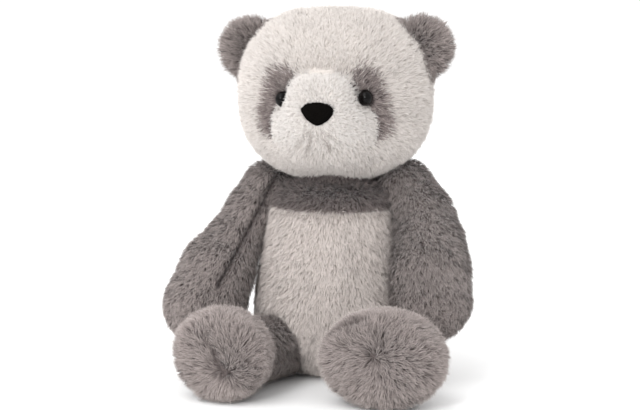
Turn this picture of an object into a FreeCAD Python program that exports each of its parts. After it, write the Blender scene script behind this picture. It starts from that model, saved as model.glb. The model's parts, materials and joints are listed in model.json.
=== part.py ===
"""A seated plush panda, 29 cm tall, with a jointed neck, arms, legs and ears.

Millimetres. The origin is the middle of the flat seat, on the floor. The panda
faces -Y, +Z is up and +X is its own left side. Pile fabric is drawn as a
closed solid panel that ends halfway up its fur.
"""
import FreeCAD
import Part
import math
import os

import Sketcher

# The driving dimensions. Heights are above the floor, and depths are along Y.
DIMENSIONS = {
    # the side of a cutting block: more than twice the panda's height
    "room": 800.0,
    # cloth and running gaps
    "fabric": 4.0,
    "joint_gap": 0.4,
    "side_seam_depth": 8.0,
    # head
    "head_height": 222.0,
    "head_half_width": 72.0,
    "head_radius": 61.5,
    "forehead_half_width": 26.0,
    "chin_seam_height": 183.0,
    # face: a round snout above a wider, lower jowl
    "snout_depth": -54.0,
    "snout_height": 219.0,
    "snout_radius": 29.0,
    "jowl_depth": -46.0,
    "jowl_height": 203.0,
    "jowl_radius": 29.0,
    "jowl_half_width": 42.0,
    "jowl_seam_below_snout": 22.0,
    "nose_half_width": 14.0,
    "nose_corner_above": 1.8,
    "nose_tip_below": 11.2,
    "nose_brow_radius": 22.0,
    "nose_cheek_radius": 19.5,
    "nose_proud": 3.0,
    "nose_sunk": 5.0,
    "nose_dome_radius": 19.0,
    # eye patches and safety eyes
    "patch_x": 37.0,
    "patch_height": 225.0,
    "patch_depth": -48.0,
    "patch_radius": 19.0,
    "patch_half_height": 32.0,
    "patch_lean": 14.0,
    "eye_x": 33.0,
    "eye_height": 226.0,
    "eye_radius": 6.0,
    "eye_proud": 4.0,
    "eye_post_radius": 2.0,
    "eye_post_length": 11.0,
    "washer_radius": 6.5,
    "washer_thickness": 1.5,
    "washer_from_post_end": 1.0,
    # ears
    "ear_angle": 30.0,
    "ear_from_centre": 67.5,
    "ear_radius": 21.0,
    "ear_offset": 12.0,
    "ear_half_thickness": 7.0,
    "ear_edge_radius": 6.5,
    "ear_root_half_length": 15.0,
    "ear_groove_gap": 1.6,
    # neck
    "neck_height": 156.0,
    "neck_depth": 2.0,
    "neck_radius": 30.0,
    "neck_fabric": 3.0,
    # torso: a pear with a ball for a belly and a flat, rounded chest top
    "belly_radius": 61.0,
    "belly_height": 52.0,
    "chest_edge_radius": 24.0,
    "chest_edge_height": 128.0,
    "chest_flat_radius": 25.0,
    "chest_seam_height": 138.0,
    "seat_pouch_radius": 26.0,
    "seat_pouch_thickness": 18.0,
    "seat_pouch_edge": 8.0,
    "seat_pouch_height": 20.0,
    "stitch_radius": 0.9,
    "stitch_half_length": 20.0,
    "stitch_start": 4.0,
    "stitch_proud": 0.4,
    # arms: tapered from the shoulder to the paw
    "shoulder_x": 60.0,
    "shoulder_depth": 2.0,
    "shoulder_height": 142.0,
    "shoulder_radius": 20.0,
    "paw_x": 92.0,
    "paw_depth": -48.0,
    "paw_height": 66.0,
    "paw_radius": 27.0,
    "paw_pouch_radius": 13.0,
    # legs and feet
    "hip_x": 37.0,
    "hip_depth": -36.0,
    "hip_height": 24.0,
    "leg_radius": 21.5,
    "foot_x": 57.0,
    "foot_depth": -119.0,
    "foot_height": 36.6,
    "foot_radius": 36.0,
    "foot_half_thickness": 23.0,
    "foot_edge_radius": 19.0,
    "ankle_radius": 22.0,
    "foot_splay": 13.0,
    "sole_seam_from_middle": 8.0,
    "foot_pouch_radius": 15.0,
    # room for the swinging limbs: degrees are measured up from the sitting pose
    "shoulder_dish_inset": 22.5,
    "shoulder_dish_radius": 100.0,
    "shoulder_dish_depth": 26.0,
    "hip_gap": 1.2,
    "hip_room_length": 60.0,
    "hip_room_step": 10.0,
    "leg_lowest": -76.0,
    "leg_highest": 15.0,
}

SHEET = "Sizes"
SIDES = (("left", 1), ("right", -1))
PLACE_PARTS = ("x", "depth", "height")

# How a sketch numbers its origin, its vertical axis, and the points of a line or arc.
ORIGIN, VERTICAL_AXIS = -1, -2
START, END, CENTRE = 1, 2, 3

doc = FreeCAD.newDocument("PlushPanda")
sheet = doc.addObject("Spreadsheet::Sheet", SHEET)
for row, (alias, value) in enumerate(DIMENSIONS.items(), start=1):
    sheet.set("A%d" % row, alias)
    sheet.set("B%d" % row, str(value))
    sheet.setAlias("B%d" % row, alias)
doc.recompute()

sub_parts = []


def cell(alias):
    """The number held in one cell of the sheet."""
    return float(sheet.get(alias))


def in_sheet(expression):
    """The expression with each known alias written as a reference to the sheet."""
    words = []
    for word in expression.split():
        words.append("%s.%s" % (SHEET, word) if word in DIMENSIONS else word)
    return " ".join(words)


def bind(obj, **expressions):
    """Bind properties, written with __ for a dot, to expressions of sheet aliases."""
    for prop, expression in expressions.items():
        obj.setExpression(prop.replace("__", "."), in_sheet(expression))


def place(obj, x="0", y="0", z="0", rotation=None):
    """Put an object at sheet-driven coordinates, turned by a rotation."""
    if rotation is not None:
        obj.Placement = FreeCAD.Placement(FreeCAD.Vector(0, 0, 0), rotation)
    bind(obj, Placement__Base__x=x, Placement__Base__y=y, Placement__Base__z=z)
    return obj


def set_placement(obj, placement):
    """Put an object at a worked-out placement in place of sheet coordinates."""
    for letter in "xyz":
        obj.setExpression("Placement.Base." + letter, None)
    obj.Placement = placement
    return obj


def turn(axis, degrees):
    """A rotation about an axis through the object's own origin."""
    return FreeCAD.Rotation(FreeCAD.Vector(*axis), degrees)


def aimed(start, end):
    """The rotation that turns +Z onto the line between two points."""
    return FreeCAD.Rotation(FreeCAD.Vector(0, 0, 1), end - start)


def sphere(name, radius, **where):
    ball = doc.addObject("Part::Sphere", name)
    bind(ball, Radius=radius)
    return place(ball, **where)


def cylinder(name, radius, length, **where):
    rod = doc.addObject("Part::Cylinder", name)
    bind(rod, Radius=radius, Height=length)
    return place(rod, **where)


def block(name, length, width, height, **where):
    box = doc.addObject("Part::Box", name)
    bind(box, Length=length, Width=width, Height=height)
    return place(box, **where)


def cut(name, base, tool):
    result = doc.addObject("Part::Cut", name)
    result.Base = base
    result.Tool = tool
    return result


def common(name, base, tool):
    result = doc.addObject("Part::Common", name)
    result.Base = base
    result.Tool = tool
    return result


def fuse(name, *pieces):
    result = doc.addObject("Part::MultiFuse", name)
    result.Shapes = list(pieces)
    return result


def half_space(name, side, limit="0"):
    """All the space on one side of a plane: side is +X, -X, +Y, -Y, +Z or -Z."""
    where = {"x": "-0.5 * room", "y": "-0.5 * room", "z": "-0.5 * room"}
    where[side[1].lower()] = limit if side[0] == "+" else "%s - room" % limit
    return block(name, "room", "room", "room", **where)


def cutting_block(name, frame, offset):
    """A block as large as all the space, at an offset (in rooms) in a frame of its own."""
    corner = FreeCAD.Vector(*offset) * cell("room")
    return set_placement(block(name, "room", "room", "room"),
                         frame.multiply(FreeCAD.Placement(corner, FreeCAD.Rotation())))


def sub_part(piece, label):
    """Give a finished piece the name of its file."""
    piece.Label = label
    sub_parts.append(piece)
    return piece


def twin(piece):
    """The same piece on the other side of the panda."""
    mirror = doc.addObject("Part::Mirroring", piece.Name + "_twin")
    mirror.Source = piece
    mirror.Normal = FreeCAD.Vector(1, 0, 0)
    return mirror


def both_sides(piece, label):
    """Hand in a left piece, and its mirrored twin as the right one."""
    sub_part(piece, label % "left")
    sub_part(twin(piece), label % "right")


def origin_plane(body, role):
    """One of a body's own origin planes."""
    return next(item for item in body.Origin.OriginFeatures if item.Role == role)


def profile_sketch(body, name):
    """A sketch on the body's XZ plane, whose vertical axis is the body's Z axis."""
    sketch = body.newObject("Sketcher::SketchObject", name)
    sketch.AttachmentSupport = (origin_plane(body, "XZ_Plane"), "")
    sketch.MapMode = "FlatFace"
    return sketch


def revolve(body, sketch, name):
    """A full turn of a closed half profile about the sketch's vertical axis."""
    turned = body.newObject("PartDesign::Revolution", name)
    turned.Profile = sketch
    turned.ReferenceAxis = (sketch, ["V_Axis"])
    turned.Angle = 360
    return body


def dimension(sketch, label, constraint, expression):
    """Add a named dimension to a sketch, driven by an expression of sheet aliases."""
    index = sketch.addConstraint(constraint)
    sketch.renameConstraint(index, label)
    sketch.setExpression("Constraints." + label, in_sheet(expression))


def tapered_capsule(name, root_radius, tip_radius, length, **where):
    """Two balls on the Z axis joined by their tangent cone.

    The root ball is centred on the origin, and the tip ball `length` above it.
    """
    body = doc.addObject("PartDesign::Body", name)
    sketch = profile_sketch(body, name + "_profile")
    root, tip, long = 20.0, 25.0, 100.0     # starting sizes, before the dimensions below
    vector = FreeCAD.Vector
    normal = vector(0, 0, 1)
    lean = math.asin((tip - root) / long)
    low = Part.Circle(vector(0, 0, 0), normal, root)
    high = Part.Circle(vector(0, long, 0), normal, tip)
    side_start = vector(root * math.cos(lean), -root * math.sin(lean), 0)
    side_end = vector(tip * math.cos(lean), long - tip * math.sin(lean), 0)
    low_arc = sketch.addGeometry(Part.ArcOfCircle(low, -math.pi / 2, -lean))
    side = sketch.addGeometry(Part.LineSegment(side_start, side_end))
    high_arc = sketch.addGeometry(Part.ArcOfCircle(high, -lean, math.pi / 2))
    axis = sketch.addGeometry(Part.LineSegment(vector(0, long + tip, 0), vector(0, -root, 0)))
    sketch.addConstraint([
        Sketcher.Constraint("Coincident", low_arc, CENTRE, ORIGIN, START),
        Sketcher.Constraint("Tangent", low_arc, END, side, START),
        Sketcher.Constraint("Tangent", side, END, high_arc, START),
        Sketcher.Constraint("Coincident", high_arc, END, axis, START),
        Sketcher.Constraint("Coincident", axis, END, low_arc, START),
        Sketcher.Constraint("PointOnObject", high_arc, CENTRE, VERTICAL_AXIS),
        Sketcher.Constraint("PointOnObject", axis, START, VERTICAL_AXIS),
        Sketcher.Constraint("PointOnObject", axis, END, VERTICAL_AXIS),
    ])
    dimension(sketch, "root_radius", Sketcher.Constraint("Radius", low_arc, root), root_radius)
    dimension(sketch, "tip_radius", Sketcher.Constraint("Radius", high_arc, tip), tip_radius)
    dimension(sketch, "ball_spacing",
              Sketcher.Constraint("DistanceY", ORIGIN, START, high_arc, CENTRE, long), length)
    return place(revolve(body, sketch, name + "_turned"), **where)


def level_capsule(name, radius, half_width, y, z):
    """A capsule that lies along X, centred on the panda's middle plane."""
    spacing = "2 * %s - 2 * %s" % (half_width, radius.split(" - ")[0])
    start = "%s - %s" % (radius.split(" - ")[0], half_width)
    return tapered_capsule(name, radius, radius, spacing, x=start, y=y, z=z,
                           rotation=turn((0, 1, 0), 90))


def rounded_drum(name, radius, half_thickness, edge_radius, **where):
    """A disc on the Z axis, centred on the origin, with rounded edges."""
    body = doc.addObject("PartDesign::Body", name)
    sketch = profile_sketch(body, name + "_profile")
    wide, thick, edge = 36.0, 23.0, 19.0     # starting sizes, before the dimensions below
    vector = FreeCAD.Vector
    normal = vector(0, 0, 1)
    lower = Part.Circle(vector(wide - edge, edge - thick, 0), normal, edge)
    upper = Part.Circle(vector(wide - edge, thick - edge, 0), normal, edge)
    quarter = math.pi / 2
    corners = (vector(0, -thick, 0), vector(wide - edge, -thick, 0), vector(wide, edge - thick, 0),
               vector(wide, thick - edge, 0), vector(wide - edge, thick, 0), vector(0, thick, 0))
    under = sketch.addGeometry(Part.LineSegment(corners[0], corners[1]))
    low_arc = sketch.addGeometry(Part.ArcOfCircle(lower, -quarter, 0))
    rim = sketch.addGeometry(Part.LineSegment(corners[2], corners[3]))
    high_arc = sketch.addGeometry(Part.ArcOfCircle(upper, 0, quarter))
    top = sketch.addGeometry(Part.LineSegment(corners[4], corners[5]))
    axis = sketch.addGeometry(Part.LineSegment(corners[5], corners[0]))
    sketch.addConstraint([
        Sketcher.Constraint("Tangent", under, END, low_arc, START),
        Sketcher.Constraint("Tangent", low_arc, END, rim, START),
        Sketcher.Constraint("Tangent", rim, END, high_arc, START),
        Sketcher.Constraint("Tangent", high_arc, END, top, START),
        Sketcher.Constraint("Coincident", top, END, axis, START),
        Sketcher.Constraint("Coincident", axis, END, under, START),
        Sketcher.Constraint("Horizontal", under),
        Sketcher.Constraint("Vertical", rim),
        Sketcher.Constraint("Horizontal", top),
        Sketcher.Constraint("PointOnObject", axis, START, VERTICAL_AXIS),
        Sketcher.Constraint("PointOnObject", axis, END, VERTICAL_AXIS),
        Sketcher.Constraint("Equal", low_arc, high_arc),
    ])
    dimension(sketch, "edge_radius", Sketcher.Constraint("Radius", low_arc, edge), edge_radius)
    dimension(sketch, "half_below",
              Sketcher.Constraint("DistanceY", under, START, ORIGIN, START, thick), half_thickness)
    dimension(sketch, "half_above",
              Sketcher.Constraint("DistanceY", ORIGIN, START, top, END, thick), half_thickness)
    dimension(sketch, "outer_radius",
              Sketcher.Constraint("DistanceX", ORIGIN, START, rim, START, wide), radius)
    return place(revolve(body, sketch, name + "_turned"), **where)


def pear(name, belly_radius, edge_radius, flat_radius, spacing, **where):
    """A ball on the origin that narrows to a flat top with a rounded edge."""
    body = doc.addObject("PartDesign::Body", name)
    sketch = profile_sketch(body, name + "_profile")
    wide, edge, flat, tall = 61.0, 24.0, 25.0, 76.0     # starting sizes
    vector = FreeCAD.Vector
    normal = vector(0, 0, 1)
    lean = math.atan2(tall, flat) - math.acos((wide - edge) / math.hypot(flat, tall))
    low = Part.Circle(vector(0, 0, 0), normal, wide)
    high = Part.Circle(vector(flat, tall, 0), normal, edge)
    side_start = vector(wide * math.cos(lean), wide * math.sin(lean), 0)
    side_end = vector(flat + edge * math.cos(lean), tall + edge * math.sin(lean), 0)
    crown = vector(0, tall + edge, 0)
    low_arc = sketch.addGeometry(Part.ArcOfCircle(low, -math.pi / 2, lean))
    side = sketch.addGeometry(Part.LineSegment(side_start, side_end))
    high_arc = sketch.addGeometry(Part.ArcOfCircle(high, lean, math.pi / 2))
    top = sketch.addGeometry(Part.LineSegment(vector(flat, tall + edge, 0), crown))
    axis = sketch.addGeometry(Part.LineSegment(crown, vector(0, -wide, 0)))
    sketch.addConstraint([
        Sketcher.Constraint("Coincident", low_arc, CENTRE, ORIGIN, START),
        Sketcher.Constraint("Tangent", low_arc, END, side, START),
        Sketcher.Constraint("Tangent", side, END, high_arc, START),
        Sketcher.Constraint("Tangent", high_arc, END, top, START),
        Sketcher.Constraint("Horizontal", top),
        Sketcher.Constraint("Coincident", top, END, axis, START),
        Sketcher.Constraint("Coincident", axis, END, low_arc, START),
        Sketcher.Constraint("PointOnObject", axis, START, VERTICAL_AXIS),
        Sketcher.Constraint("PointOnObject", axis, END, VERTICAL_AXIS),
    ])
    dimension(sketch, "belly_radius", Sketcher.Constraint("Radius", low_arc, wide), belly_radius)
    dimension(sketch, "edge_radius", Sketcher.Constraint("Radius", high_arc, edge), edge_radius)
    dimension(sketch, "flat_radius",
              Sketcher.Constraint("DistanceX", ORIGIN, START, high_arc, CENTRE, flat), flat_radius)
    dimension(sketch, "edge_spacing",
              Sketcher.Constraint("DistanceY", ORIGIN, START, high_arc, CENTRE, tall), spacing)
    return place(revolve(body, sketch, name + "_turned"), **where)


# ---------------------------------------------------------------- shared cutters

front = half_space("front_half", "-Y", "side_seam_depth")
back = half_space("back_half", "+Y", "side_seam_depth")
left = half_space("left_half", "+X")
right = half_space("right_half", "-X")

NECK = {"x": "0", "y": "neck_depth", "z": "neck_height"}
SHOULDER = {"x": "shoulder_x", "y": "shoulder_depth", "z": "shoulder_height"}
HIP = {"x": "hip_x", "y": "hip_depth", "z": "hip_height"}
neck_socket = sphere("neck_socket", "neck_radius + joint_gap", **NECK)


# ---------------------------------------------------------------- limbs

def point(place_name):
    """A named place, such as the shoulder or the paw, as a vector."""
    return FreeCAD.Vector(*[cell("%s_%s" % (place_name, part)) for part in PLACE_PARTS])


def spacing_between(start, end):
    """The distance between two named places, as an expression."""
    squares = ["( %s_%s - %s_%s ) ^ 2" % (end, part, start, part)
               for part in PLACE_PARTS]
    return "sqrt( %s )" % " + ".join(squares)


def seam_cutter(name, root, tip):
    """Half of all space, cut through a limb's own axis, on the limb's upper, outer side."""
    axis = (point(tip) - point(root)).normalize()
    across = axis.cross(FreeCAD.Vector(0, 0, 1)).normalize()
    upward = across.cross(axis)
    frame = FreeCAD.Placement(point(root), FreeCAD.Rotation(axis, -across, upward, "ZXY"))
    return cutting_block(name, frame, (-0.5, -0.5, 0))


ARM_LENGTH = spacing_between("shoulder", "paw")
LEG_LENGTH = spacing_between("hip", "foot")
arm_turn = aimed(point("shoulder"), point("paw"))
leg_turn = aimed(point("hip"), point("foot"))


def make_arm():
    """One arm: an outer and an inner panel, stuffing, and a bead pouch in the paw."""
    outer = tapered_capsule("arm_outer_form", "shoulder_radius", "paw_radius", ARM_LENGTH,
                            rotation=arm_turn, **SHOULDER)
    inner = tapered_capsule("arm_inner_form", "shoulder_radius - fabric", "paw_radius - fabric",
                            ARM_LENGTH, rotation=arm_turn, **SHOULDER)
    skin = cut("arm_skin", outer, inner)
    across = seam_cutter("arm_seam_cutter", "shoulder", "paw")
    both_sides(common("arm_panel_a", skin, across), "arm_%s_outer_panel")
    both_sides(cut("arm_panel_b", skin, across), "arm_%s_inner_panel")
    pouch = sphere("paw_pouch_form", "paw_pouch_radius",
                   x="paw_x", y="paw_depth", z="paw_height")
    both_sides(cut("arm_filling", inner, pouch), "arm_%s_stuffing")
    both_sides(pouch, "paw_%s_bean_pouch")


def make_leg():
    """One leg and foot: leg panels, sole, foot side, stuffing and a bead pouch."""
    foot_turn = turn((0, 0, 1), cell("foot_splay")).multiply(turn((1, 0, 0), 90))
    at_foot = {"x": "foot_x", "y": "foot_depth", "z": "foot_height"}
    tube = tapered_capsule("leg_outer_form", "leg_radius", "ankle_radius", LEG_LENGTH,
                           rotation=leg_turn, **HIP)
    core = tapered_capsule("leg_inner_form", "leg_radius - fabric", "ankle_radius - fabric",
                           LEG_LENGTH, rotation=leg_turn, **HIP)
    foot = rounded_drum("foot_outer_form", "foot_radius", "foot_half_thickness",
                        "foot_edge_radius", rotation=foot_turn, **at_foot)
    foot_core = rounded_drum("foot_inner_form", "foot_radius - fabric",
                             "foot_half_thickness - fabric", "foot_edge_radius - fabric",
                             rotation=foot_turn, **at_foot)
    filling = fuse("leg_core", core, foot_core)
    leg_skin = cut("leg_skin", cut("leg_shell", tube, foot), filling)
    upper = seam_cutter("leg_seam_cutter", "hip", "foot")
    both_sides(common("leg_panel_a", leg_skin, upper), "leg_%s_upper_panel")
    both_sides(cut("leg_panel_b", leg_skin, upper), "leg_%s_lower_panel")

    foot_skin = cut("foot_skin", foot, filling)
    sole_seam = foot_turn.multVec(FreeCAD.Vector(0, 0, cell("sole_seam_from_middle")))
    ahead = cutting_block("sole_cutter", FreeCAD.Placement(point("foot") + sole_seam, foot_turn),
                          (-0.5, -0.5, 0))
    both_sides(common("foot_panel_a", foot_skin, ahead), "foot_%s_sole_panel")
    both_sides(cut("foot_panel_b", foot_skin, ahead), "foot_%s_side_panel")
    pouch = sphere("foot_pouch_form", "foot_pouch_radius", **at_foot)
    both_sides(cut("leg_filling", filling, pouch), "leg_%s_stuffing")
    both_sides(pouch, "foot_%s_bean_pouch")


make_arm()
make_leg()


# ---------------------------------------------------------------- torso

def shoulder_dishes():
    """Wide cones about each shoulder's own axis, where a swinging arm passes the torso."""
    dishes = []
    for side, sign in SIDES:
        dish = doc.addObject("Part::Cone", "shoulder_dish_" + side)
        bind(dish, Radius2="shoulder_dish_radius", Height="shoulder_dish_depth")
        dish.Radius1 = 0
        x = "%d * shoulder_x - %d * shoulder_dish_inset" % (sign, sign)
        dishes.append(place(dish, x=x, y="shoulder_depth", z="shoulder_height",
                            rotation=turn((0, 1, 0), 90 * sign)))
    return dishes


def hip_hollows():
    """The room that each leg needs under the belly from its lowest to its highest swing."""
    hollows = []
    axis = (point("foot") - point("hip")).normalize()
    for side, sign in SIDES:
        x = "%d * hip_x" % sign
        hollows.append(sphere("hip_socket_" + side, "leg_radius + joint_gap",
                              x=x, y="hip_depth", z="hip_height"))
        swing = cell("leg_lowest")
        while swing <= cell("leg_highest"):
            aim = turn((-1, 0, 0), swing).multVec(FreeCAD.Vector(sign * axis.x, axis.y, axis.z))
            rod = cylinder("hip_room_%s_%d" % (side, len(hollows)), "leg_radius + hip_gap",
                           "hip_room_length", x=x, y="hip_depth", z="hip_height",
                           rotation=FreeCAD.Rotation(FreeCAD.Vector(0, 0, 1), aim))
            hollows.append(rod)
            swing += cell("hip_room_step")
    return hollows


def back_stitch():
    """The thread that closes the back seam, half sunk where the belly meets the sloping back."""
    rise = cell("chest_edge_height") - cell("belly_height")
    inset = cell("belly_radius") - cell("chest_edge_radius")
    flat = cell("chest_flat_radius")
    slope = math.atan2(rise, flat) - math.acos(inset / math.hypot(flat, rise))
    out = FreeCAD.Vector(0, math.cos(slope), math.sin(slope))
    up_back = FreeCAD.Vector(0, -math.sin(slope), math.cos(slope))
    start = (FreeCAD.Vector(0, 0, cell("belly_height")) + up_back * cell("stitch_start")
             + out * (cell("belly_radius") + cell("stitch_proud")))
    stitch = tapered_capsule("closing_stitch_form", "stitch_radius", "stitch_radius",
                             "2 * stitch_half_length")
    aim = FreeCAD.Rotation(FreeCAD.Vector(0, 0, 1), up_back)
    return set_placement(stitch, FreeCAD.Placement(start, aim))


def make_torso():
    """The pear: chest, belly, two back panels, seat, stuffing and a bead pouch."""
    spacing = "chest_edge_height - belly_height"
    form = pear("torso_outer_form", "belly_radius", "chest_edge_radius", "chest_flat_radius",
                spacing, z="belly_height")
    core = pear("torso_inner_form", "belly_radius - fabric", "chest_edge_radius - fabric",
                "chest_flat_radius", spacing, z="belly_height")
    above_floor = half_space("above_floor", "+Z")
    above_seat = half_space("above_seat", "+Z", "fabric")
    sockets = fuse("torso_sockets", neck_socket, *shoulder_dishes(), *hip_hollows())
    body = cut("torso_solid", common("torso_grounded", form, above_floor), sockets)
    lining = common("torso_core", core, above_seat)
    skin = cut("torso_skin", body, lining)
    wall = common("torso_wall", skin, above_seat)
    sub_part(cut("seat_slab", skin, above_seat), "seat_panel")

    front_wall = common("torso_front", wall, front)
    above_chest_seam = half_space("above_chest_seam", "+Z", "chest_seam_height")
    sub_part(common("chest_wall", front_wall, above_chest_seam), "chest_panel")
    sub_part(cut("belly_wall", front_wall, above_chest_seam), "belly_panel")

    stitch = back_stitch()
    back_wall = cut("torso_back", common("torso_rear", wall, back), stitch)
    sub_part(common("back_wall_left", back_wall, left), "back_panel_left")
    sub_part(common("back_wall_right", back_wall, right), "back_panel_right")
    sub_part(stitch, "back_closing_stitch")

    pouch = rounded_drum("seat_pouch_form", "seat_pouch_radius", "seat_pouch_thickness / 2",
                         "seat_pouch_edge", z="seat_pouch_height")
    sub_part(pouch, "seat_bean_pouch")
    sub_part(cut("torso_filling", cut("torso_filled", lining, sockets), pouch), "torso_stuffing")


def make_neck():
    """A stuffed ball between the head and the torso, in its own cloth cover."""
    cover = sphere("neck_outer_form", "neck_radius", **NECK)
    core = sphere("neck_inner_form", "neck_radius - neck_fabric", **NECK)
    sub_part(cut("neck_cloth", cover, core), "neck_cover")
    sub_part(core, "neck_stuffing")


make_torso()
make_neck()


# ---------------------------------------------------------------- head and face

def head_point(across, height):
    """The point of the head's surface, and its outward normal, at one X and Z."""
    radius = cell("head_radius")
    beyond = max(0.0, across - (cell("head_half_width") - radius))
    up = height - cell("head_height")
    depth = -math.sqrt(radius ** 2 - beyond ** 2 - up ** 2)
    return FreeCAD.Vector(across, depth, height), FreeCAD.Vector(beyond, depth, up).normalize()


def make_eye():
    """A domed safety eye with its post, and the washer that locks it inside."""
    surface, outward = head_point(cell("eye_x"), cell("eye_height"))
    aim = FreeCAD.Rotation(FreeCAD.Vector(0, 0, 1), outward)
    dome_centre = surface + outward * (cell("eye_proud") - cell("eye_radius"))
    dome = sphere("eye_dome", "eye_radius")
    post = cylinder("eye_post", "eye_post_radius", "eye_post_length")
    washer_disc = cylinder("eye_washer_disc", "washer_radius", "washer_thickness")
    for piece, along in ((dome, 0.0), (post, -cell("eye_post_length")),
                         (washer_disc, cell("washer_from_post_end") - cell("eye_post_length"))):
        set_placement(piece, FreeCAD.Placement(dome_centre + outward * along, aim))
    eye = fuse("eye_with_post", dome, post)
    both_sides(eye, "eye_%s")
    washer = cut("eye_washer", washer_disc, eye)
    both_sides(washer, "eye_%s_washer")
    return fuse("eye_hole_form", eye, washer_disc)


def arc_between(start, end, radius):
    """An arc that bulges to the right of the line from its start to its end."""
    chord = end - start
    rise = radius - math.sqrt(radius ** 2 - (chord.Length / 2) ** 2)
    outward = FreeCAD.Vector(chord.y, -chord.x, 0).normalize()
    return Part.Arc(start, (start + end) / 2 + outward * rise, end)


def make_nose():
    """A domed nose cushion: wide and round above, and pointed below."""
    body = doc.addObject("PartDesign::Body", "nose_form")
    sketch = profile_sketch(body, "nose_outline")
    half, corner_above = cell("nose_half_width"), cell("nose_corner_above")
    tip_below = cell("nose_tip_below")
    brow_radius, cheek_radius = cell("nose_brow_radius"), cell("nose_cheek_radius")
    tip = FreeCAD.Vector(0, -tip_below, 0)
    corner_left = FreeCAD.Vector(-half, corner_above, 0)
    corner_right = FreeCAD.Vector(half, corner_above, 0)
    brow = sketch.addGeometry(arc_between(corner_right, corner_left, brow_radius))
    lower_left = sketch.addGeometry(arc_between(corner_left, tip, cheek_radius))
    lower_right = sketch.addGeometry(arc_between(tip, corner_right, cheek_radius))
    sketch.addConstraint([
        Sketcher.Constraint("Coincident", brow, END, lower_left, START),
        Sketcher.Constraint("Coincident", lower_left, END, lower_right, START),
        Sketcher.Constraint("Coincident", lower_right, END, brow, START),
        Sketcher.Constraint("PointOnObject", lower_left, END, VERTICAL_AXIS),
        Sketcher.Constraint("Symmetric", brow, START, brow, END, VERTICAL_AXIS),
        Sketcher.Constraint("Equal", lower_left, lower_right),
    ])
    dimension(sketch, "half_width",
              Sketcher.Constraint("DistanceX", ORIGIN, START, brow, START, half), "nose_half_width")
    dimension(sketch, "corner_above",
              Sketcher.Constraint("DistanceY", ORIGIN, START, brow, START, corner_above),
              "nose_corner_above")
    dimension(sketch, "tip_below",
              Sketcher.Constraint("DistanceY", lower_left, END, ORIGIN, START, tip_below),
              "nose_tip_below")
    dimension(sketch, "brow_radius", Sketcher.Constraint("Radius", brow, brow_radius),
              "nose_brow_radius")
    dimension(sketch, "cheek_radius", Sketcher.Constraint("Radius", lower_left, cheek_radius),
              "nose_cheek_radius")
    pad = body.newObject("PartDesign::Pad", "nose_pad")
    pad.Profile = sketch
    pad.Midplane = True
    bind(pad, Length="2 * nose_sunk + 2 * nose_proud")
    place(body, y="snout_depth - snout_radius", z="snout_height")
    dome = sphere("nose_dome", "nose_dome_radius",
                  y="snout_depth - snout_radius - nose_proud + nose_dome_radius", z="snout_height")
    nose = common("nose_cushion", body, dome)
    sub_part(nose, "nose")
    return nose


def sew_muzzle(muzzle):
    """The snout's cover, and the jowl's below it."""
    below_jowl = half_space("below_jowl_seam", "-Z", "snout_height - jowl_seam_below_snout")
    sub_part(cut("muzzle_upper", muzzle, below_jowl), "muzzle_panel")
    sub_part(common("muzzle_lower", muzzle, below_jowl), "jowl_panel")


def eye_patch_form():
    """The upright bar that bounds the left eye patch, leaning in at its top."""
    patch = tapered_capsule("eye_patch_form", "patch_radius", "patch_radius",
                            "2 * patch_half_height - 2 * patch_radius")
    lean = turn((0, 1, 0), -cell("patch_lean"))
    middle = FreeCAD.Vector(cell("patch_x"), cell("patch_depth"), cell("patch_height"))
    half_spacing = FreeCAD.Vector(0, 0, cell("patch_half_height") - cell("patch_radius"))
    return set_placement(patch, FreeCAD.Placement(middle - lean.multVec(half_spacing), lean))


def sew_front(cloth):
    """The front of the head: eye patches, forehead, cheeks and chin."""
    patch = eye_patch_form()
    both_sides(common("eye_patch_cloth", common("patch_side", cloth, left), patch),
               "eye_patch_%s")
    plain = cut("head_plain", cloth, fuse("eye_patch_pair", patch, twin(patch)))
    above_brow = block("forehead_cutter", "2 * forehead_half_width", "room", "room",
                       x="0 - forehead_half_width", y="-0.5 * room", z="head_height")
    sub_part(common("forehead_cloth", plain, above_brow), "forehead_panel")
    sides = cut("head_sides", plain, above_brow)
    below_chin = half_space("below_chin_seam", "-Z", "chin_seam_height")
    sub_part(common("chin_cloth", sides, below_chin), "chin_panel")
    both_sides(common("cheek_cloth", cut("cheeks", sides, below_chin), left), "cheek_panel_%s")


def sew_back(cloth):
    """The two back panels of the head."""
    sub_part(common("head_rear_left", cloth, left), "head_back_panel_left")
    sub_part(common("head_rear_right", cloth, right), "head_back_panel_right")


def head_forms(layer, less):
    """The skull, and the snout with its jowl, all smaller by an expression."""
    skull = level_capsule("head_%s_form" % layer, "head_radius" + less, "head_half_width", "0",
                          "head_height")
    snout = sphere("snout_%s_form" % layer, "snout_radius" + less, y="snout_depth",
                   z="snout_height")
    jowl = level_capsule("jowl_%s_form" % layer, "jowl_radius" + less, "jowl_half_width",
                         "jowl_depth", "jowl_height")
    return skull, fuse("face_%s_form" % layer, snout, jowl)


def make_head():
    """The stuffed head: forehead, cheeks, chin, back, snout, eye patches, eyes and nose."""
    outer, face = head_forms("outer", "")
    core, face_core = head_forms("inner", " - fabric")
    eye_hole = make_eye()
    groove = root_bar("ear_groove", " + ear_groove_gap")
    holes = fuse("head_holes", neck_socket, make_nose(), groove, twin(groove), eye_hole,
                 twin(eye_hole))
    filling = fuse("head_core", core, face_core)
    sub_part(cut("head_filling", filling, holes), "head_stuffing")
    sew_muzzle(cut("muzzle_cover", cut("muzzle_skin", face, filling), holes))
    shell = cut("head_shell", cut("head_skin", outer, core), holes)
    sew_back(common("head_rear", shell, back))
    sew_front(cut("head_front", common("head_fore", shell, front), face))


# ---------------------------------------------------------------- ears

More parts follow.
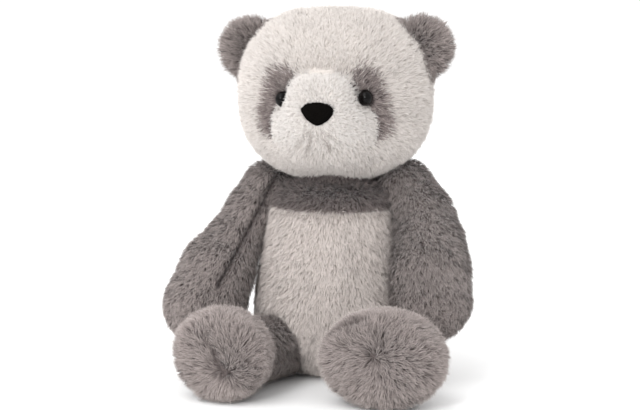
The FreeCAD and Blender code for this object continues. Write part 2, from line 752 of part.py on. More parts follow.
def ear_frame():
    """An ear's own frame: Z out of the head, Y straight back, X along its root."""
    angle = cell("ear_angle")
    outward = FreeCAD.Vector(math.cos(math.radians(angle)), 0, math.sin(math.radians(angle)))
    root = FreeCAD.Vector(0, 0, cell("head_height")) + outward * cell("ear_from_centre")
    return FreeCAD.Placement(root, turn((0, 1, 0), 90 - angle))


def at_ear(piece, offset, rotation=None):
    """Put a piece in the ear's frame, at an offset from the middle of the ear's root."""
    local = FreeCAD.Placement(FreeCAD.Vector(*offset), rotation or FreeCAD.Rotation())
    return set_placement(piece, ear_frame().multiply(local))


def root_bar(name, grown):
    """The rolled root that an ear turns on, grown by a clearance."""
    half = cell("ear_root_half_length")
    along = turn((0, 1, 0), 90)
    bar = cylinder(name + "_bar", "ear_half_thickness" + grown, "2 * ear_root_half_length")
    at_ear(bar, (-half, 0, 0), along)
    ends = [at_ear(sphere("%s_end_%d" % (name, index), "ear_half_thickness" + grown),
                   (x, 0, 0)) for index, x in enumerate((-half, half))]
    return fuse(name, bar, *ends)


def make_ear():
    """One ear: a front and a back disc of pile cloth, sewn round the edge."""
    disc = rounded_drum("ear_disc", "ear_radius", "ear_half_thickness", "ear_edge_radius")
    at_ear(disc, (0, 0, cell("ear_offset")), turn((1, 0, 0), 90))
    above_root = cutting_block("ear_root_cutter", ear_frame(), (-0.5, -0.5, 0))
    ear = fuse("ear_form", common("ear_above_root", disc, above_root), root_bar("ear_root", ""))
    ear_front = cutting_block("ear_front_cutter", ear_frame(), (-0.5, -1, -0.5))
    both_sides(common("ear_panel_a", ear, ear_front), "ear_%s_front_panel")
    both_sides(cut("ear_panel_b", ear, ear_front), "ear_%s_back_panel")


make_head()
make_ear()


# ---------------------------------------------------------------- check and write

doc.recompute()
failed = [item.Name for item in doc.Objects
          if "Invalid" in item.State or "Error" in item.State]
bad = [piece.Label for piece in sub_parts if piece.Shape.isNull() or not piece.Shape.isValid()]
if failed or bad:
    raise SystemExit("failed objects: %s; bad shapes: %s" % (failed, bad))
os.makedirs("parts", exist_ok=True)
for piece in sub_parts:
    piece.Shape.exportStep("parts/%s.step" % piece.Label)
print("%d sub-parts written" % len(sub_parts))
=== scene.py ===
"""The looks of a seated plush panda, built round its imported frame.

Each stuffed part is one smooth closed form, given as a signed distance in
millimetres. Its cloth is a mesh drawn onto that form and cut into panels along
the seams, and its pile is real strands combed over each panel.
"""

import json
import math

import bpy
import numpy as np
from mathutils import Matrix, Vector


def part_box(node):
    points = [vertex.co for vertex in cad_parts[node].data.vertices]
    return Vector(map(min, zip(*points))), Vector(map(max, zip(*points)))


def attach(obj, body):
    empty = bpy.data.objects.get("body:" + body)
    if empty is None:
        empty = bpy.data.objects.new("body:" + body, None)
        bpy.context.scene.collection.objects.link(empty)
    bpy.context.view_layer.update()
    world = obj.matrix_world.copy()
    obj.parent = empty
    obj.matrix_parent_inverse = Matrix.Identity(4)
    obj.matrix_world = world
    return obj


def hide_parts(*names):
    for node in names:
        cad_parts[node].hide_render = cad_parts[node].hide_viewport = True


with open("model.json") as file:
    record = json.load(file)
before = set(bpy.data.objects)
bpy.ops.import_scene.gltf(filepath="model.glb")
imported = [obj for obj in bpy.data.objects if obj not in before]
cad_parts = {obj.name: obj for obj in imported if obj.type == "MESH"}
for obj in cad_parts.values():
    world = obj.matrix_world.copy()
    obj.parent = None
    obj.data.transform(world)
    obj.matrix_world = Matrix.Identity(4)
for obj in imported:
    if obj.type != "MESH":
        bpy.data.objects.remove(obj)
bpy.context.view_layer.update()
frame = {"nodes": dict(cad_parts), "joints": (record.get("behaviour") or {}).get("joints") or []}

MM = 0.001
LEFT, RIGHT = 1.0, -1.0
SIDES = (("left", LEFT), ("right", RIGHT))
JOINTS = {joint["name"]: np.array(joint["pos_m"]) / MM for joint in frame["joints"]}
PILE_SHARE = 1.0


# ---------------------------------------------------------------- vectors

def vec(*numbers):
    return np.array(numbers, float)


def length_of(v):
    return np.sqrt(np.sum(v * v, axis=-1))


def unit(v):
    return v / np.maximum(length_of(v), 1e-9)[..., None]


def dot(a, b):
    return np.sum(a * b, axis=-1)


def flattened(v, normal):
    """The part of v that lies in the surface with this normal, as a unit vector."""
    return unit(v - dot(v, normal)[..., None] * normal)


def middle(node):
    """The centre of a CAD node, in millimetres."""
    low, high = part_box(node)
    return np.array((low + high) / 2) / MM


# ---------------------------------------------------------------- signed forms

def ball(p, centre, radius):
    return length_of(p - centre) - radius


def round_cone(p, start, end, start_radius, end_radius):
    """Two balls joined by their tangent cone."""
    axis = end - start
    span = length_of(axis)
    along = (p - start) @ (axis / span)
    across = np.sqrt(np.maximum(dot(p - start, p - start) - along ** 2, 0))
    slope = (start_radius - end_radius) / span
    rise = math.sqrt(1 - slope ** 2)
    key = -slope * across + rise * along
    side = rise * across + slope * along - start_radius
    low = np.hypot(across, along) - start_radius
    high = np.hypot(across, along - span) - end_radius
    return np.where(key < 0, low, np.where(key > rise * span, high, side))


def rounded_size(power, *offsets):
    """One on the surface of a rounded box, from the offset along each axis over its half side."""
    total = sum(np.abs(offset) ** power for offset in offsets)
    return (total + 1e-9) ** (1 / power)


def join(a, b, blend):
    """The union of two forms, with a rounded valley between them."""
    share = np.clip(0.5 + 0.5 * (b - a) / blend, 0, 1)
    return b + (a - b) * share - blend * share * (1 - share)


def carve(a, b, blend):
    """Form a without form b, with a rounded edge."""
    return -join(-a, b, blend)


def furrow(distance, depth, width):
    """How far a seam or crease pulls the cloth in, by the distance from it."""
    return depth * np.exp(-(distance / width) ** 2)


def gradient(form, p):
    step = 0.05
    parts = []
    for axis in range(3):
        shift = np.zeros(3)
        shift[axis] = step
        parts.append(form(p + shift) - form(p - shift))
    return np.stack(parts, axis=1) / (2 * step)


def settle(form, p, rounds, most=6.0):
    """Points moved onto a form along its gradient, a limited step at a time."""
    for _ in range(rounds):
        slope = gradient(form, p)
        move = form(p)[:, None] * slope / np.maximum(dot(slope, slope), 0.05)[:, None]
        far = length_of(move)
        p = p - move * np.minimum(1, most / np.maximum(far, 1e-9))[:, None]
    return p


# ---------------------------------------------------------------- the panda's forms

HEAD = vec(0, 0, 222.5)
HEAD_HALF = vec(74.5, 59.5, 66.5)
SNOUT = vec(-0.5, -54, 214.5)
SNOUT_HALF = vec(25.5, 28.5, 26.5)
JOWL = vec(10.5, -46, 201.5)
JOWL_RADIUS = 27.5
MUZZLE_PILE_ROOM = 2.5
NECK = JOINTS["head_turn"]
NOSE = vec(0.8, middle("nose")[1], 214.5)
EYES = {"left": vec(33.5, -57.5, 224.5), "right": vec(-31.0, -57.5, 222.5)}
BELLY = vec(0, 0, 52)
BELLY_RADIUS = 63.0
CHEST_RING = vec(30, 128)
CHEST_RADIUS = 22.0
TORSO_TOP = 154
FLOOR_GAP = 3.0
# The flat that each arm lies against: its reach at the shoulder, its slope and its full reach.
DISH_REACH = {"left": (42.5, 0.22, 54.0), "right": (44.5, 0.3, 64.0)}
CHEST_SEAM = 135.5
SIDE_SEAM = 8.0
FAR_OFF = 60
# How deep and how wide each kind of seam pulls the cloth in.
BACK_FURROW, CHEST_FURROW, LEG_FURROW = (1.2, 2.5), (1.0, 3.0), (1.0, 2.4)
ARM_FURROW, SOLE_FURROW = (2.2, 3.0), (2.0, 3.0)


def back_line(p):
    """The distance from the seam up the middle of a back, and far off in front."""
    return np.where(p[:, 1] > SIDE_SEAM, np.abs(p[:, 0]), FAR_OFF)


def muzzle_form(p, thickness):
    """The round snout and the wider, lower jowl, grown by a thickness."""
    half = SNOUT_HALF + thickness
    snout = (rounded_size(2.9, *((p - SNOUT) / half).T) - 1) * half[2]
    radius = JOWL_RADIUS + thickness
    jowl = round_cone(p, JOWL * vec(-1, 1, 1), JOWL, radius, radius)
    return join(snout, jowl, 9.0)


def head_form(p):
    """A skull that is squarish from the front, joined softly to the jowl and sharply to the snout."""
    off = (p - HEAD) / HEAD_HALF
    face_on = rounded_size(2.45, off[:, 0], off[:, 2])
    skull = (np.sqrt(face_on ** 2 + off[:, 1] ** 2) - 1) * 60.0
    blend = np.interp(p[:, 2], (182, 212), (16, 3))
    return join(skull, muzzle_form(p, 0.0), blend) + furrow(back_line(p), *BACK_FURROW)


def muzzle_edge(p):
    """Below zero on the muzzle's own cloth."""
    return muzzle_form(p, MUZZLE_PILE_ROOM)


def patch_edge(side):
    """Below zero on an eye patch: an upright bar that leans in at its top."""
    lean = math.radians(14) * side
    up = vec(-math.sin(lean), 0, math.cos(lean)) * 14.5
    centre = vec(34.0 * side, -48, 219.5)
    return lambda p: round_cone(p, centre - up, centre + up, 13.5, 12.5)


def torso_form(p):
    """A pear that is round from above, with a flat under each arm and room for each leg."""
    outline = np.stack((np.hypot(p[:, 0], p[:, 1]), np.zeros(len(p)), p[:, 2]), axis=1)
    start, end = vec(0, 0, BELLY[2]), vec(CHEST_RING[0], 0, CHEST_RING[1])
    axis = unit(end - start)
    outward = vec(axis[2], 0, -axis[0])
    inner = np.minimum((outline - start) @ outward, 0)
    flat = outline - inner[:, None] * outward
    pear = round_cone(flat, start, end, BELLY_RADIUS, CHEST_RADIUS)
    pear = carve(pear, TORSO_TOP - p[:, 2], 4.0)
    pear = carve(pear, p[:, 2] - FLOOR_GAP, 8.0)
    for side, sign in SIDES:
        shoulder = JOINTS["arm_%s_swing" % side]
        far = np.hypot(p[:, 1] - shoulder[1], p[:, 2] - shoulder[2])
        reach, slope, most = DISH_REACH[side]
        dish = (np.minimum(reach + slope * far, most) - p[:, 0] * sign) / 1.04
        pear = carve(pear, dish, 8.0)
        pear = carve(pear, leg_sweep(side, p), 5.0)
    chest_line = np.where(p[:, 1] < 0, p[:, 2] - CHEST_SEAM, FAR_OFF)
    return pear + furrow(chest_line, *CHEST_FURROW) + furrow(back_line(p), *BACK_FURROW)


LEG_SWINGS = range(-75, 16, 15)
LEG_REACH = 70


def leg_sweep(side, p):
    """The room that a leg passes through as it swings about its hip."""
    hip = JOINTS["leg_%s_swing" % side]
    along = unit(FEET[side]["centre"] - hip)
    room = np.full(len(p), 500.0)
    for degrees in LEG_SWINGS:
        turned = math.radians(-degrees)
        aim = vec(along[0],
                  along[1] * math.cos(turned) - along[2] * math.sin(turned),
                  along[1] * math.sin(turned) + along[2] * math.cos(turned))
        room = np.minimum(room, round_cone(p, hip, hip + aim * LEG_REACH, 23.0, 24.5))
    return room


def neck_form(p):
    return ball(p, NECK, 28.0)


# The places and radii down each arm's middle, from shoulder to paw.
ARM_LINES = {
    "left": ((55, 2, 147, 21.0), (71.5, -10, 127, 21.0), (77.5, -22, 108, 24.5),
             (80.5, -34, 90, 27.5), (83, -43, 67, 29.0)),
    "right": ((-54.5, 2, 146, 18.5), (-65.5, -9, 128, 17.5), (-77.5, -22, 106, 18.5),
              (-88.5, -34, 84, 25.5), (-96.5, -45, 57, 29.8)),
}
# Which way the seam down each arm faces.
ARM_SEAMS = {"left": vec(-0.89, -0.45, 0), "right": vec(0.2, -1, 0)}


def arm_axis(side):
    line = ARM_LINES[side]
    return vec(*line[0][:3]), vec(*line[-1][:3])


def seam_side(start, end):
    """The normal of a limb's seam plane, which holds the limb's axis and a level line."""
    along = unit(end - start)
    level = unit(np.cross(along, vec(0, 0, 1)))
    return np.cross(level, along)


def arm_seam(side):
    """The normal of an arm's seam plane, which points to its outer panel."""
    start, end = arm_axis(side)
    way = unit(np.cross(ARM_SEAMS[side], end - start))
    return way if way[2] > 0 else -way


def arm_form(side):
    line = ARM_LINES[side]
    start, _ = arm_axis(side)
    normal = arm_seam(side)

    def form(p):
        arm = np.full(len(p), 500.0)
        for near, far in zip(line[:-1], line[1:]):
            bone = round_cone(p, vec(*near[:3]), vec(*far[:3]), near[3], far[3])
            arm = join(arm, bone, 6.0)
        return arm + furrow((p - start) @ normal, *ARM_FURROW)
    return form


# Each sole's whorl and creases are given across and up from the foot's centre.
FEET = {
    "left": {"centre": vec(58.5, -119, 36.5), "splay": -7.0, "half": vec(44.0, 33.0, 22.5),
             "whorl": vec(-2.0, 6.0), "crease_strength": 0.3,
             "creases": ((vec(-33, 18), vec(-12, 27)),)},
    "right": {"centre": vec(-64.5, -119, 35.0), "splay": -14.0, "half": vec(33.5, 31.5, 21.0),
              "whorl": vec(12.0, -7.0), "crease_strength": 0.75,
              "creases": ((vec(-2, 15), vec(12, -9)), (vec(-29, -4), vec(-15, -25)))},
}
for foot in FEET.values():
    turned = math.radians(foot["splay"])
    foot["out"] = vec(math.sin(turned), -math.cos(turned), 0)
    foot["side"] = vec(math.cos(turned), math.sin(turned), 0)


def on_foot(side, p):
    """Where points lie across and up a foot, and ahead along its sole's own direction."""
    foot = FEET[side]
    off = p - foot["centre"]
    return off @ foot["side"], off[:, 2], off @ foot["out"]


def crease_distance(across, up, crease):
    """The distance from a short line drawn on the sole."""
    start, end = crease
    off = np.stack((across, up), axis=1) - start
    line = end - start
    share = np.clip(off @ line / (line @ line), 0, 1)
    return length_of(off - share[:, None] * line)


def leg_form(side):
    """A leg from its hip to a rounded foot with a nearly flat sole."""
    foot = FEET[side]
    hip = JOINTS["leg_%s_swing" % side]
    ankle = foot["centre"] - foot["out"] * 6 - vec(0, 0, 3)
    normal = seam_side(hip, ankle)

    def form(p):
        across, up, ahead = on_foot(side, p)
        rim = np.hypot(across / foot["half"][0], up / foot["half"][1])
        pad = (rounded_size(3.2, rim, ahead / foot["half"][2]) - 1) * 24.0
        leg = round_cone(p, hip, ankle, 20.5, 23.5)
        whole = join(pad, leg, 7.0)
        on_sole = np.clip(ahead / 12.0, 0, 1)
        for crease in foot["creases"]:
            whole = whole + on_sole * furrow(crease_distance(across, up, crease), *SOLE_FURROW)
        behind_sole = np.clip(-ahead / 12.0, 0, 1)
        whole = whole + behind_sole * furrow((p - hip) @ normal, *LEG_FURROW)
        return carve(whole, p[:, 2] - FLOOR_GAP, 6.0)
    return form


EAR_RADIUS = 21.0


def ear_frame(side):
    """An ear's root, its middle, and the direction from the one to the other."""
    root = JOINTS["ear_%s_fold" % side]
    outward = unit((root - HEAD) * vec(1, 0, 1))
    drop = vec(0, 0, 2.0 if side == "left" else 4.5)
    return root - drop, root + outward * 11.0 - drop, outward


def ear_form(side):
    """A thick disc with a bar along its root, hollowed in front."""
    root, centre, outward = ear_frame(side)
    along = np.cross(outward, vec(0, 1, 0))

    def form(p):
        off = p - centre
        rim = np.hypot(off @ outward, off @ along) / EAR_RADIUS
        disc = (rounded_size(2.6, rim, off[:, 1] / 7.5) - 1) * 9.0
        bar = round_cone(p, root - along * 13, root + along * 13, 6.0, 6.0)
        hollow = ball(p, centre + vec(0, -24, 0) - outward * 2, 19.5)
        return carve(join(disc, bar, 5.0), hollow, 5.0)
    return form


# ---------------------------------------------------------------- cloth meshes

def ball_grid(rows):
    """The points and four-sided faces of a ball made from an evenly divided cube."""
    steps = np.tan(np.linspace(-math.pi / 4, math.pi / 4, rows + 1))
    a, b = np.meshgrid(steps, steps, indexing="ij")
    one = np.ones_like(a)
    sheets = []
    for axes in ((0, 1, 2), (1, 2, 0), (2, 0, 1)):
        for sign in (1, -1):
            grid = np.stack((a * sign, b, one * sign), axis=-1)
            order = np.empty(3, int)
            order[list(axes)] = (0, 1, 2)
            sheets.append(grid[..., order])
    points = unit(np.concatenate([sheet.reshape(-1, 3) for sheet in sheets]))
    _, first, same = np.unique(np.round(points, 5), axis=0, return_index=True,
                               return_inverse=True)
    same = same.reshape(-1)
    index = np.arange((rows + 1) ** 2).reshape(rows + 1, rows + 1)
    quads = np.stack((index[:-1, :-1], index[1:, :-1], index[1:, 1:], index[:-1, 1:]),
                     axis=-1).reshape(-1, 4)
    faces = np.concatenate([same[quads + k * (rows + 1) ** 2] for k in range(len(sheets))])
    points = points[first]
    facing = np.cross(points[faces[:, 1]] - points[faces[:, 0]],
                      points[faces[:, 2]] - points[faces[:, 0]])
    inward = dot(facing, points[faces[:, 0]]) < 0
    faces[inward] = faces[inward][:, ::-1]
    return points, faces


def wrap(form, start, end, radius, rows):
    """A closed mesh on a form, from a capsule drawn round it between two points."""
    points, faces = ball_grid(rows)
    axis = unit(end - start)
    slide = 0.5 + 0.5 * np.sin(np.clip(points @ axis, -1, 1) * math.pi / 2)
    p = start + slide[:, None] * (end - start) + points * radius
    return settle(form, p, 24), faces


def split_panels(p, faces, form, panels):
    """Each face's panel, with the points between panels moved onto the seam."""
    label = np.full(len(faces), len(panels) - 1)
    centres = p[faces].mean(axis=1)
    for index in reversed(range(len(panels) - 1)):
        label[panels[index]["inside"](centres) < 0] = index
    for index in range(len(panels) - 1):
        here = np.zeros(len(p), bool)
        later = np.zeros(len(p), bool)
        here[faces[label == index].ravel()] = True
        later[faces[label > index].ravel()] = True
        edge = np.flatnonzero(here & later)
        if len(edge):
            p[edge] = settle(panels[index]["inside"], p[edge], 2, most=1.2)
            p[edge] = settle(form, p[edge], 2, most=1.2)
    return label


def mesh_object(name, points, faces, material, smooth=True):
    """A mesh object from points in millimetres."""
    mesh = bpy.data.meshes.new(name)
    mesh.vertices.add(len(points))
    mesh.vertices.foreach_set("co", (points * MM).astype(np.float32).ravel())
    sizes = [face.shape[1] for face in faces]
    counts = [len(face) for face in faces]
    corners = np.concatenate([face.ravel() for face in faces])
    starts = np.concatenate(([0], np.cumsum(np.repeat(sizes, counts))))[:-1]
    mesh.loops.add(len(corners))
    mesh.loops.foreach_set("vertex_index", corners.astype(np.int32))
    mesh.polygons.add(len(starts))
    mesh.polygons.foreach_set("loop_start", starts.astype(np.int32))
    mesh.polygons.foreach_set("use_smooth", np.full(len(starts), smooth))
    mesh.materials.append(material)
    mesh.update(calc_edges=True)
    item = bpy.data.objects.new(name, mesh)
    bpy.context.scene.collection.objects.link(item)
    return item


def apply_modifiers(item):
    graph = bpy.context.evaluated_depsgraph_get()
    item.data = bpy.data.meshes.new_from_object(item.evaluated_get(graph))
    item.modifiers.clear()


def cloth_piece(name, p, faces, material):
    """A panel of backing cloth with its real thickness."""
    used, packed = np.unique(faces, return_inverse=True)
    item = mesh_object(name, p[used], [packed.reshape(faces.shape)], material)
    thickness = item.modifiers.new("thickness", "SOLIDIFY")
    thickness.thickness = 1.2 * MM
    thickness.offset = -1
    apply_modifiers(item)
    return item


# ---------------------------------------------------------------- pile

def scatter(p, faces, spacing_area, rng):
    """Evenly spread points over a mesh, one for each share of its area."""
    corners = p[faces]
    triangles = np.concatenate((corners[:, (0, 1, 2)], corners[:, (0, 2, 3)]))
    area = length_of(np.cross(triangles[:, 1] - triangles[:, 0],
                              triangles[:, 2] - triangles[:, 0])) / 2
    total = np.cumsum(area)
    count = int(total[-1] / spacing_area)
    at = (np.arange(count) + rng.random(count)) * total[-1] / count
    chosen = triangles[np.searchsorted(total, at)]
    u, v = rng.random(count), rng.random(count)
    over = u + v > 1
    u[over], v[over] = 1 - u[over], 1 - v[over]
    return (chosen[:, 0] + u[:, None] * (chosen[:, 1] - chosen[:, 0])
            + v[:, None] * (chosen[:, 2] - chosen[:, 0]))


def drift(p, scale, seed):
    """A smooth field from about -1 to 1 that varies over this many millimetres."""
    rng = np.random.default_rng(seed)
    total = np.zeros(len(p))
    for _ in range(6):
        wave = unit(rng.normal(size=3)) * rng.uniform(0.7, 1.5) * 2 * math.pi / scale
        total += np.sin(p @ wave + rng.uniform(0, 2 * math.pi))
    return total / 3.0


CLUMP_AREA = 2.5
STRANDS_PER_CLUMP = 5
ROOT_DEPTH = 0.4
# A strand's half width at its root and its middle, over its width.
STRAND_TAPER = (0.5, 0.42)


def grow(p, faces, form, panels, comb, seed, avoid=(), spare=(), partings=()):
    """Strands over a whole form, as root, middle and tip points with their panel.

    Strands lean along the comb field, gather into tufts, and stay out of the
    forms in `avoid`. The strands that start in a form in `spare` are left out.
    Along the lines in `partings`, each with its width and its strength, they are
    short, combed apart, and darkened as painted shade in the parting.
    """
    rng = np.random.default_rng(seed)
    clump = scatter(p, faces, CLUMP_AREA / PILE_SHARE, rng)
    count = len(clump)
    clump_normal = unit(gradient(form, clump))
    tilt = rng.normal(0, 0.35, (count, 3))
    clump_long = rng.uniform(0.82, 1.12, count)

    of = np.repeat(np.arange(count), STRANDS_PER_CLUMP)
    offset = rng.normal(0, 1.0, (len(of), 3))
    offset -= dot(offset, clump_normal[of])[:, None] * clump_normal[of]
    root = settle(form, clump[of] + offset, 2, most=2.0)
    normal = unit(gradient(form, root))
    blur = rng.normal(0, 1, (len(of), 3))
    label = np.full(len(of), len(panels) - 1)
    for index in reversed(range(len(panels) - 1)):
        label[panels[index]["inside"](root + blur * panels[index]["soft"]) < 0] = index

    def styled(key):
        return np.array([panel["pile"][key] for panel in panels])[label]

    flow = comb(root, normal)
    parted = np.zeros(len(of))
    for line, wide, strength in partings:
        near = np.exp(-(line(root) / wide) ** 2) * strength
        apart = flattened(gradient(line, root), normal) * near[:, None]
        flow = flow + apart * np.clip(wide - 1.6, 0, 1)
        parted = np.maximum(parted, near)
    flow = flattened(flow + tilt[of] * 0.8 + rng.normal(0, 0.18, (len(of), 3)), normal)
    lean = np.radians(styled("lean") + rng.normal(0, 7, len(of)) + tilt[of, 0] * 18)
    lean = np.clip(lean, 0.15, 1.25)
    tall = styled("length") * clump_long[of] * rng.uniform(0.8, 1.15, len(of))
    tall *= 1 - 0.6 * parted
    start_way = unit(normal * np.cos(lean * 0.75)[:, None] + flow * np.sin(lean * 0.75)[:, None])
    end_lean = np.clip(lean * 1.3, 0.2, 1.45)
    end_way = unit(normal * np.cos(end_lean)[:, None] + flow * np.sin(end_lean)[:, None])
    elbow = root + start_way * (tall * 0.5)[:, None]
    tip = elbow + end_way * (tall * 0.5)[:, None]

    gather = styled("gather")[:, None]
    first = np.arange(count) * STRANDS_PER_CLUMP
    tip = tip * (1 - gather) + (tip[first][of] + offset * 0.25) * gather
    elbow = elbow * (1 - gather * 0.4) + (elbow[first][of] + offset * 0.6) * gather * 0.4

    keep = np.ones(len(of), bool)
    for other in spare:
        keep &= other(root) > 0
    for other in avoid:
        for points, margin in ((elbow, 0.4), (tip, 0.8)):
            inside = margin - other(points)
            near = inside > 0
            if near.any():
                way = unit(gradient(other, points[near]))
                points[near] += way * np.minimum(inside[near], 9.0)[:, None]
    for points in (elbow, tip):
        points[:, 2] = np.maximum(points[:, 2], 0.3)
    tone = 0.5 + 0.10 * rng.normal(0, 1, count)[of] + 0.08 * rng.normal(0, 1, len(of))
    tone += 0.10 * drift(root, 34.0, seed + 1) + 0.08 * drift(root, 13.0, seed + 2)
    # Each panel's tone offset, painted shade or light, is added here, and strands in a parting are
    # darkened as painted shade.
    tone += styled("tone") - 0.5 * parted
    return {"root": root, "elbow": elbow, "tip": tip, "normal": normal, "label": label,
            "tone": tone, "parted": parted, "keep": keep,
            "width": styled("width") * rng.uniform(0.75, 1.2, len(of)), "rng": rng}


def pile_piece(name, strands, chosen, material):
    """One object of thin tapered strips, with their shade and height as a UV layer."""
    root, elbow, tip = (strands[key][chosen] for key in ("root", "elbow", "tip"))
    normal, width = strands["normal"][chosen], strands["width"][chosen]
    tone = np.clip(strands["tone"][chosen], 0.02, 0.98)
    count = len(root)
    rng = strands["rng"]
    root = root - normal * ROOT_DEPTH
    way = unit(tip - root)
    side = unit(np.cross(way, normal) + rng.normal(0, 0.2, (count, 3)))
    low_half, high_half = (side * (width * taper)[:, None] for taper in STRAND_TAPER)
    points = np.stack((root - low_half, root + low_half, elbow - high_half, elbow + high_half,
                       tip), axis=1)
    base = np.arange(count)[:, None] * 5
    item = mesh_object(name, points.reshape(-1, 3),
                       [base + (0, 1, 3, 2), base + (2, 3, 4)], material)
    # Parted strands take the darker root colours further up: painted shade in the parting.
    height = np.outer(1 - 0.85 * strands["parted"][chosen], (0.02, 0.02, 0.5, 0.5, 0.98))
    uv = np.stack((np.repeat(tone, 5), height.ravel()), axis=1)
    corners = np.concatenate(((base + (0, 1, 3, 2)).ravel(), (base + (2, 3, 4)).ravel()))
    layer = item.data.uv_layers.new(name="OFBake")
    layer.data.foreach_set("uv", uv[corners].astype(np.float32).ravel())
    return item


# ---------------------------------------------------------------- materials

def linear(red, green, blue):
    """A colour from its usual 0 to 255 values."""
    parts = []
    for value in (red, green, blue):
        share = value / 255
        parts.append(share / 12.92 if share <= 0.04045 else ((share + 0.055) / 1.055) ** 2.4)
    return (*parts, 1.0)


def new_material(name, **sockets):
    material = bpy.data.materials.new(name)
    material.use_nodes = True
    shader = material.node_tree.nodes["Principled BSDF"]
    for key, value in sockets.items():
        shader.inputs[key.replace("_", " ")].default_value = value
    return material, material.node_tree, shader


def ramp(tree, source, stops):
    node = tree.nodes.new("ShaderNodeValToRGB")
    tree.links.new(source, node.inputs["Fac"])
    ends = node.color_ramp.elements
    ends[0].position, ends[0].color = stops[0]
    ends[1].position, ends[1].color = stops[-1]
    for position, colour in stops[1:-1]:
        ends.new(position).color = colour
    return node.outputs["Color"]


def mixed(tree, kind, share, a, b):
    node = tree.nodes.new("ShaderNodeMix")
    node.data_type = "RGBA"
    node.blend_type = kind
    node.inputs["Factor"].default_value = share
    tree.links.new(a, node.inputs["A"])
    tree.links.new(b, node.inputs["B"])
    return node.outputs["Result"]


def pile_material(name, root, body, tip, spread=0.22, sheen=0.25):
    """Strands darkened towards the root as painted shade deep in the pile, lighter at the tip, and
    uneven in tone.
    """
    material, tree, shader = new_material(
        name, Roughness=0.82, Specular_IOR_Level=0.2, Sheen_Weight=sheen, Sheen_Roughness=0.5)
    layer = tree.nodes.new("ShaderNodeUVMap")
    layer.uv_map = "OFBake"
    split = tree.nodes.new("ShaderNodeSeparateXYZ")
    tree.links.new(layer.outputs["UV"], split.inputs[0])
    along = ramp(tree, split.outputs["Y"], [(0.0, linear(*root)), (0.5, linear(*body)),
                                            (1.0, linear(*tip))])
    low, high = 1 - spread, 1 + spread * 0.35
    shade = ramp(tree, split.outputs["X"], [(0.0, (low, low, low, 1)), (0.5, (1, 1, 1, 1)),
                                            (1.0, (high, high, high, 1))])
    tree.links.new(mixed(tree, "MULTIPLY", 1.0, along, shade), shader.inputs["Base Color"])
    return material


def cloth_material(name, dark, light, scale=900.0):
    """A knitted backing cloth, with a fine weave in its colour and its surface."""
    material, tree, shader = new_material(name, Roughness=0.9, Specular_IOR_Level=0.15)
    place = tree.nodes.new("ShaderNodeTexCoord")
    weave = tree.nodes.new("ShaderNodeTexNoise")
    weave.inputs["Scale"].default_value = scale
    weave.inputs["Detail"].default_value = 2.0
    tree.links.new(place.outputs["Object"], weave.inputs["Vector"])
    colour = ramp(tree, weave.outputs["Fac"], [(0.35, linear(*dark)), (0.65, linear(*light))])
    tree.links.new(colour, shader.inputs["Base Color"])
    bump = tree.nodes.new("ShaderNodeBump")
    bump.inputs["Strength"].default_value = 0.35
    bump.inputs["Distance"].default_value = 0.0004
    tree.links.new(weave.outputs["Fac"], bump.inputs["Height"])
    tree.links.new(bump.outputs["Normal"], shader.inputs["Normal"])
    return material


# Each pile's first colour, at the strand's root, is darker than its body: painted shade deep in the
# pile.
PILES = {
    "cream": pile_material("cream_pile", (170, 162, 156), (208, 201, 196), (225, 220, 216), 0.16),
    "white": pile_material("white_pile", (164, 156, 151), (213, 208, 204), (229, 225, 222), 0.12),
    "belly": pile_material("belly_pile", (160, 151, 145), (203, 194, 189), (224, 216, 211), 0.18),
    "grey": pile_material("grey_pile", (76, 68, 67), (138, 128, 125), (192, 182, 178), 0.34),
    # The chest pile, which the neck wears too, is the grey pile painted darker: painted shade where
    # the head shades the chest and neck.
    "chest": pile_material("chest_pile", (56, 49, 48), (106, 96, 94), (160, 149, 146), 0.34),
    "patch": pile_material("patch_pile", (58, 51, 51), (118, 107, 105), (180, 169, 165), 0.34),
}
BACKING = {
    "cream": cloth_material("cream_backing", (196, 188, 182), (214, 207, 201)),
    "white": cloth_material("white_backing", (214, 207, 202), (230, 225, 221)),
    "belly": cloth_material("belly_backing", (176, 166, 159), (200, 190, 183)),
    "grey": cloth_material("grey_backing", (84, 76, 75), (108, 99, 97)),
    # The chest backing is painted darker to match: painted shade under the head.
    "chest": cloth_material("shaded_chest_backing", (66, 58, 58), (88, 79, 78)),
    "patch": cloth_material("patch_backing", (66, 58, 58), (90, 81, 80)),
}


# ---------------------------------------------------------------- combing

def pile(length, lean, gather=0.3, width=0.46, tone=0.0):
    return {"length": length, "lean": lean, "gather": gather, "width": width, "tone": tone}


def outside(p):
    """The last panel of a form takes all that the others leave."""
    return -np.ones(len(p))


EYE_WHORL = 11.0


def face_comb(p, normal):
    """Away from the nose in front, down the sides and back, and away from each eye."""
    behind = np.clip((p[:, 1] + 28) / 40, 0, 1)[:, None]
    flow = unit(p - NOSE - vec(0, 4, 0)) * (1 - behind) + vec(0, 0.3, -1) * behind
    for eye in EYES.values():
        off = p - eye
        near = np.exp(-(length_of(off) / EYE_WHORL) ** 2)
        flow = flow * (1 - near)[:, None] + unit(off) * near[:, None]
    return flow


def torso_comb(p, normal):
    return np.broadcast_to(vec(0, 0, -1), p.shape) + normal * vec(0.25, 0, 0)


def neck_comb(p, normal):
    return unit(p - NECK) * vec(1, 1, 0) - vec(0, 0, 0.8)


def arm_comb(side):
    start, end = arm_axis(side)
    along = unit(end - start)

    def comb(p, normal):
        past = np.clip((p - end) @ along / 20.0, 0, 1)[:, None]
        return along * (1 - past * 0.6) + unit(p - end) * past * 0.3
    return comb


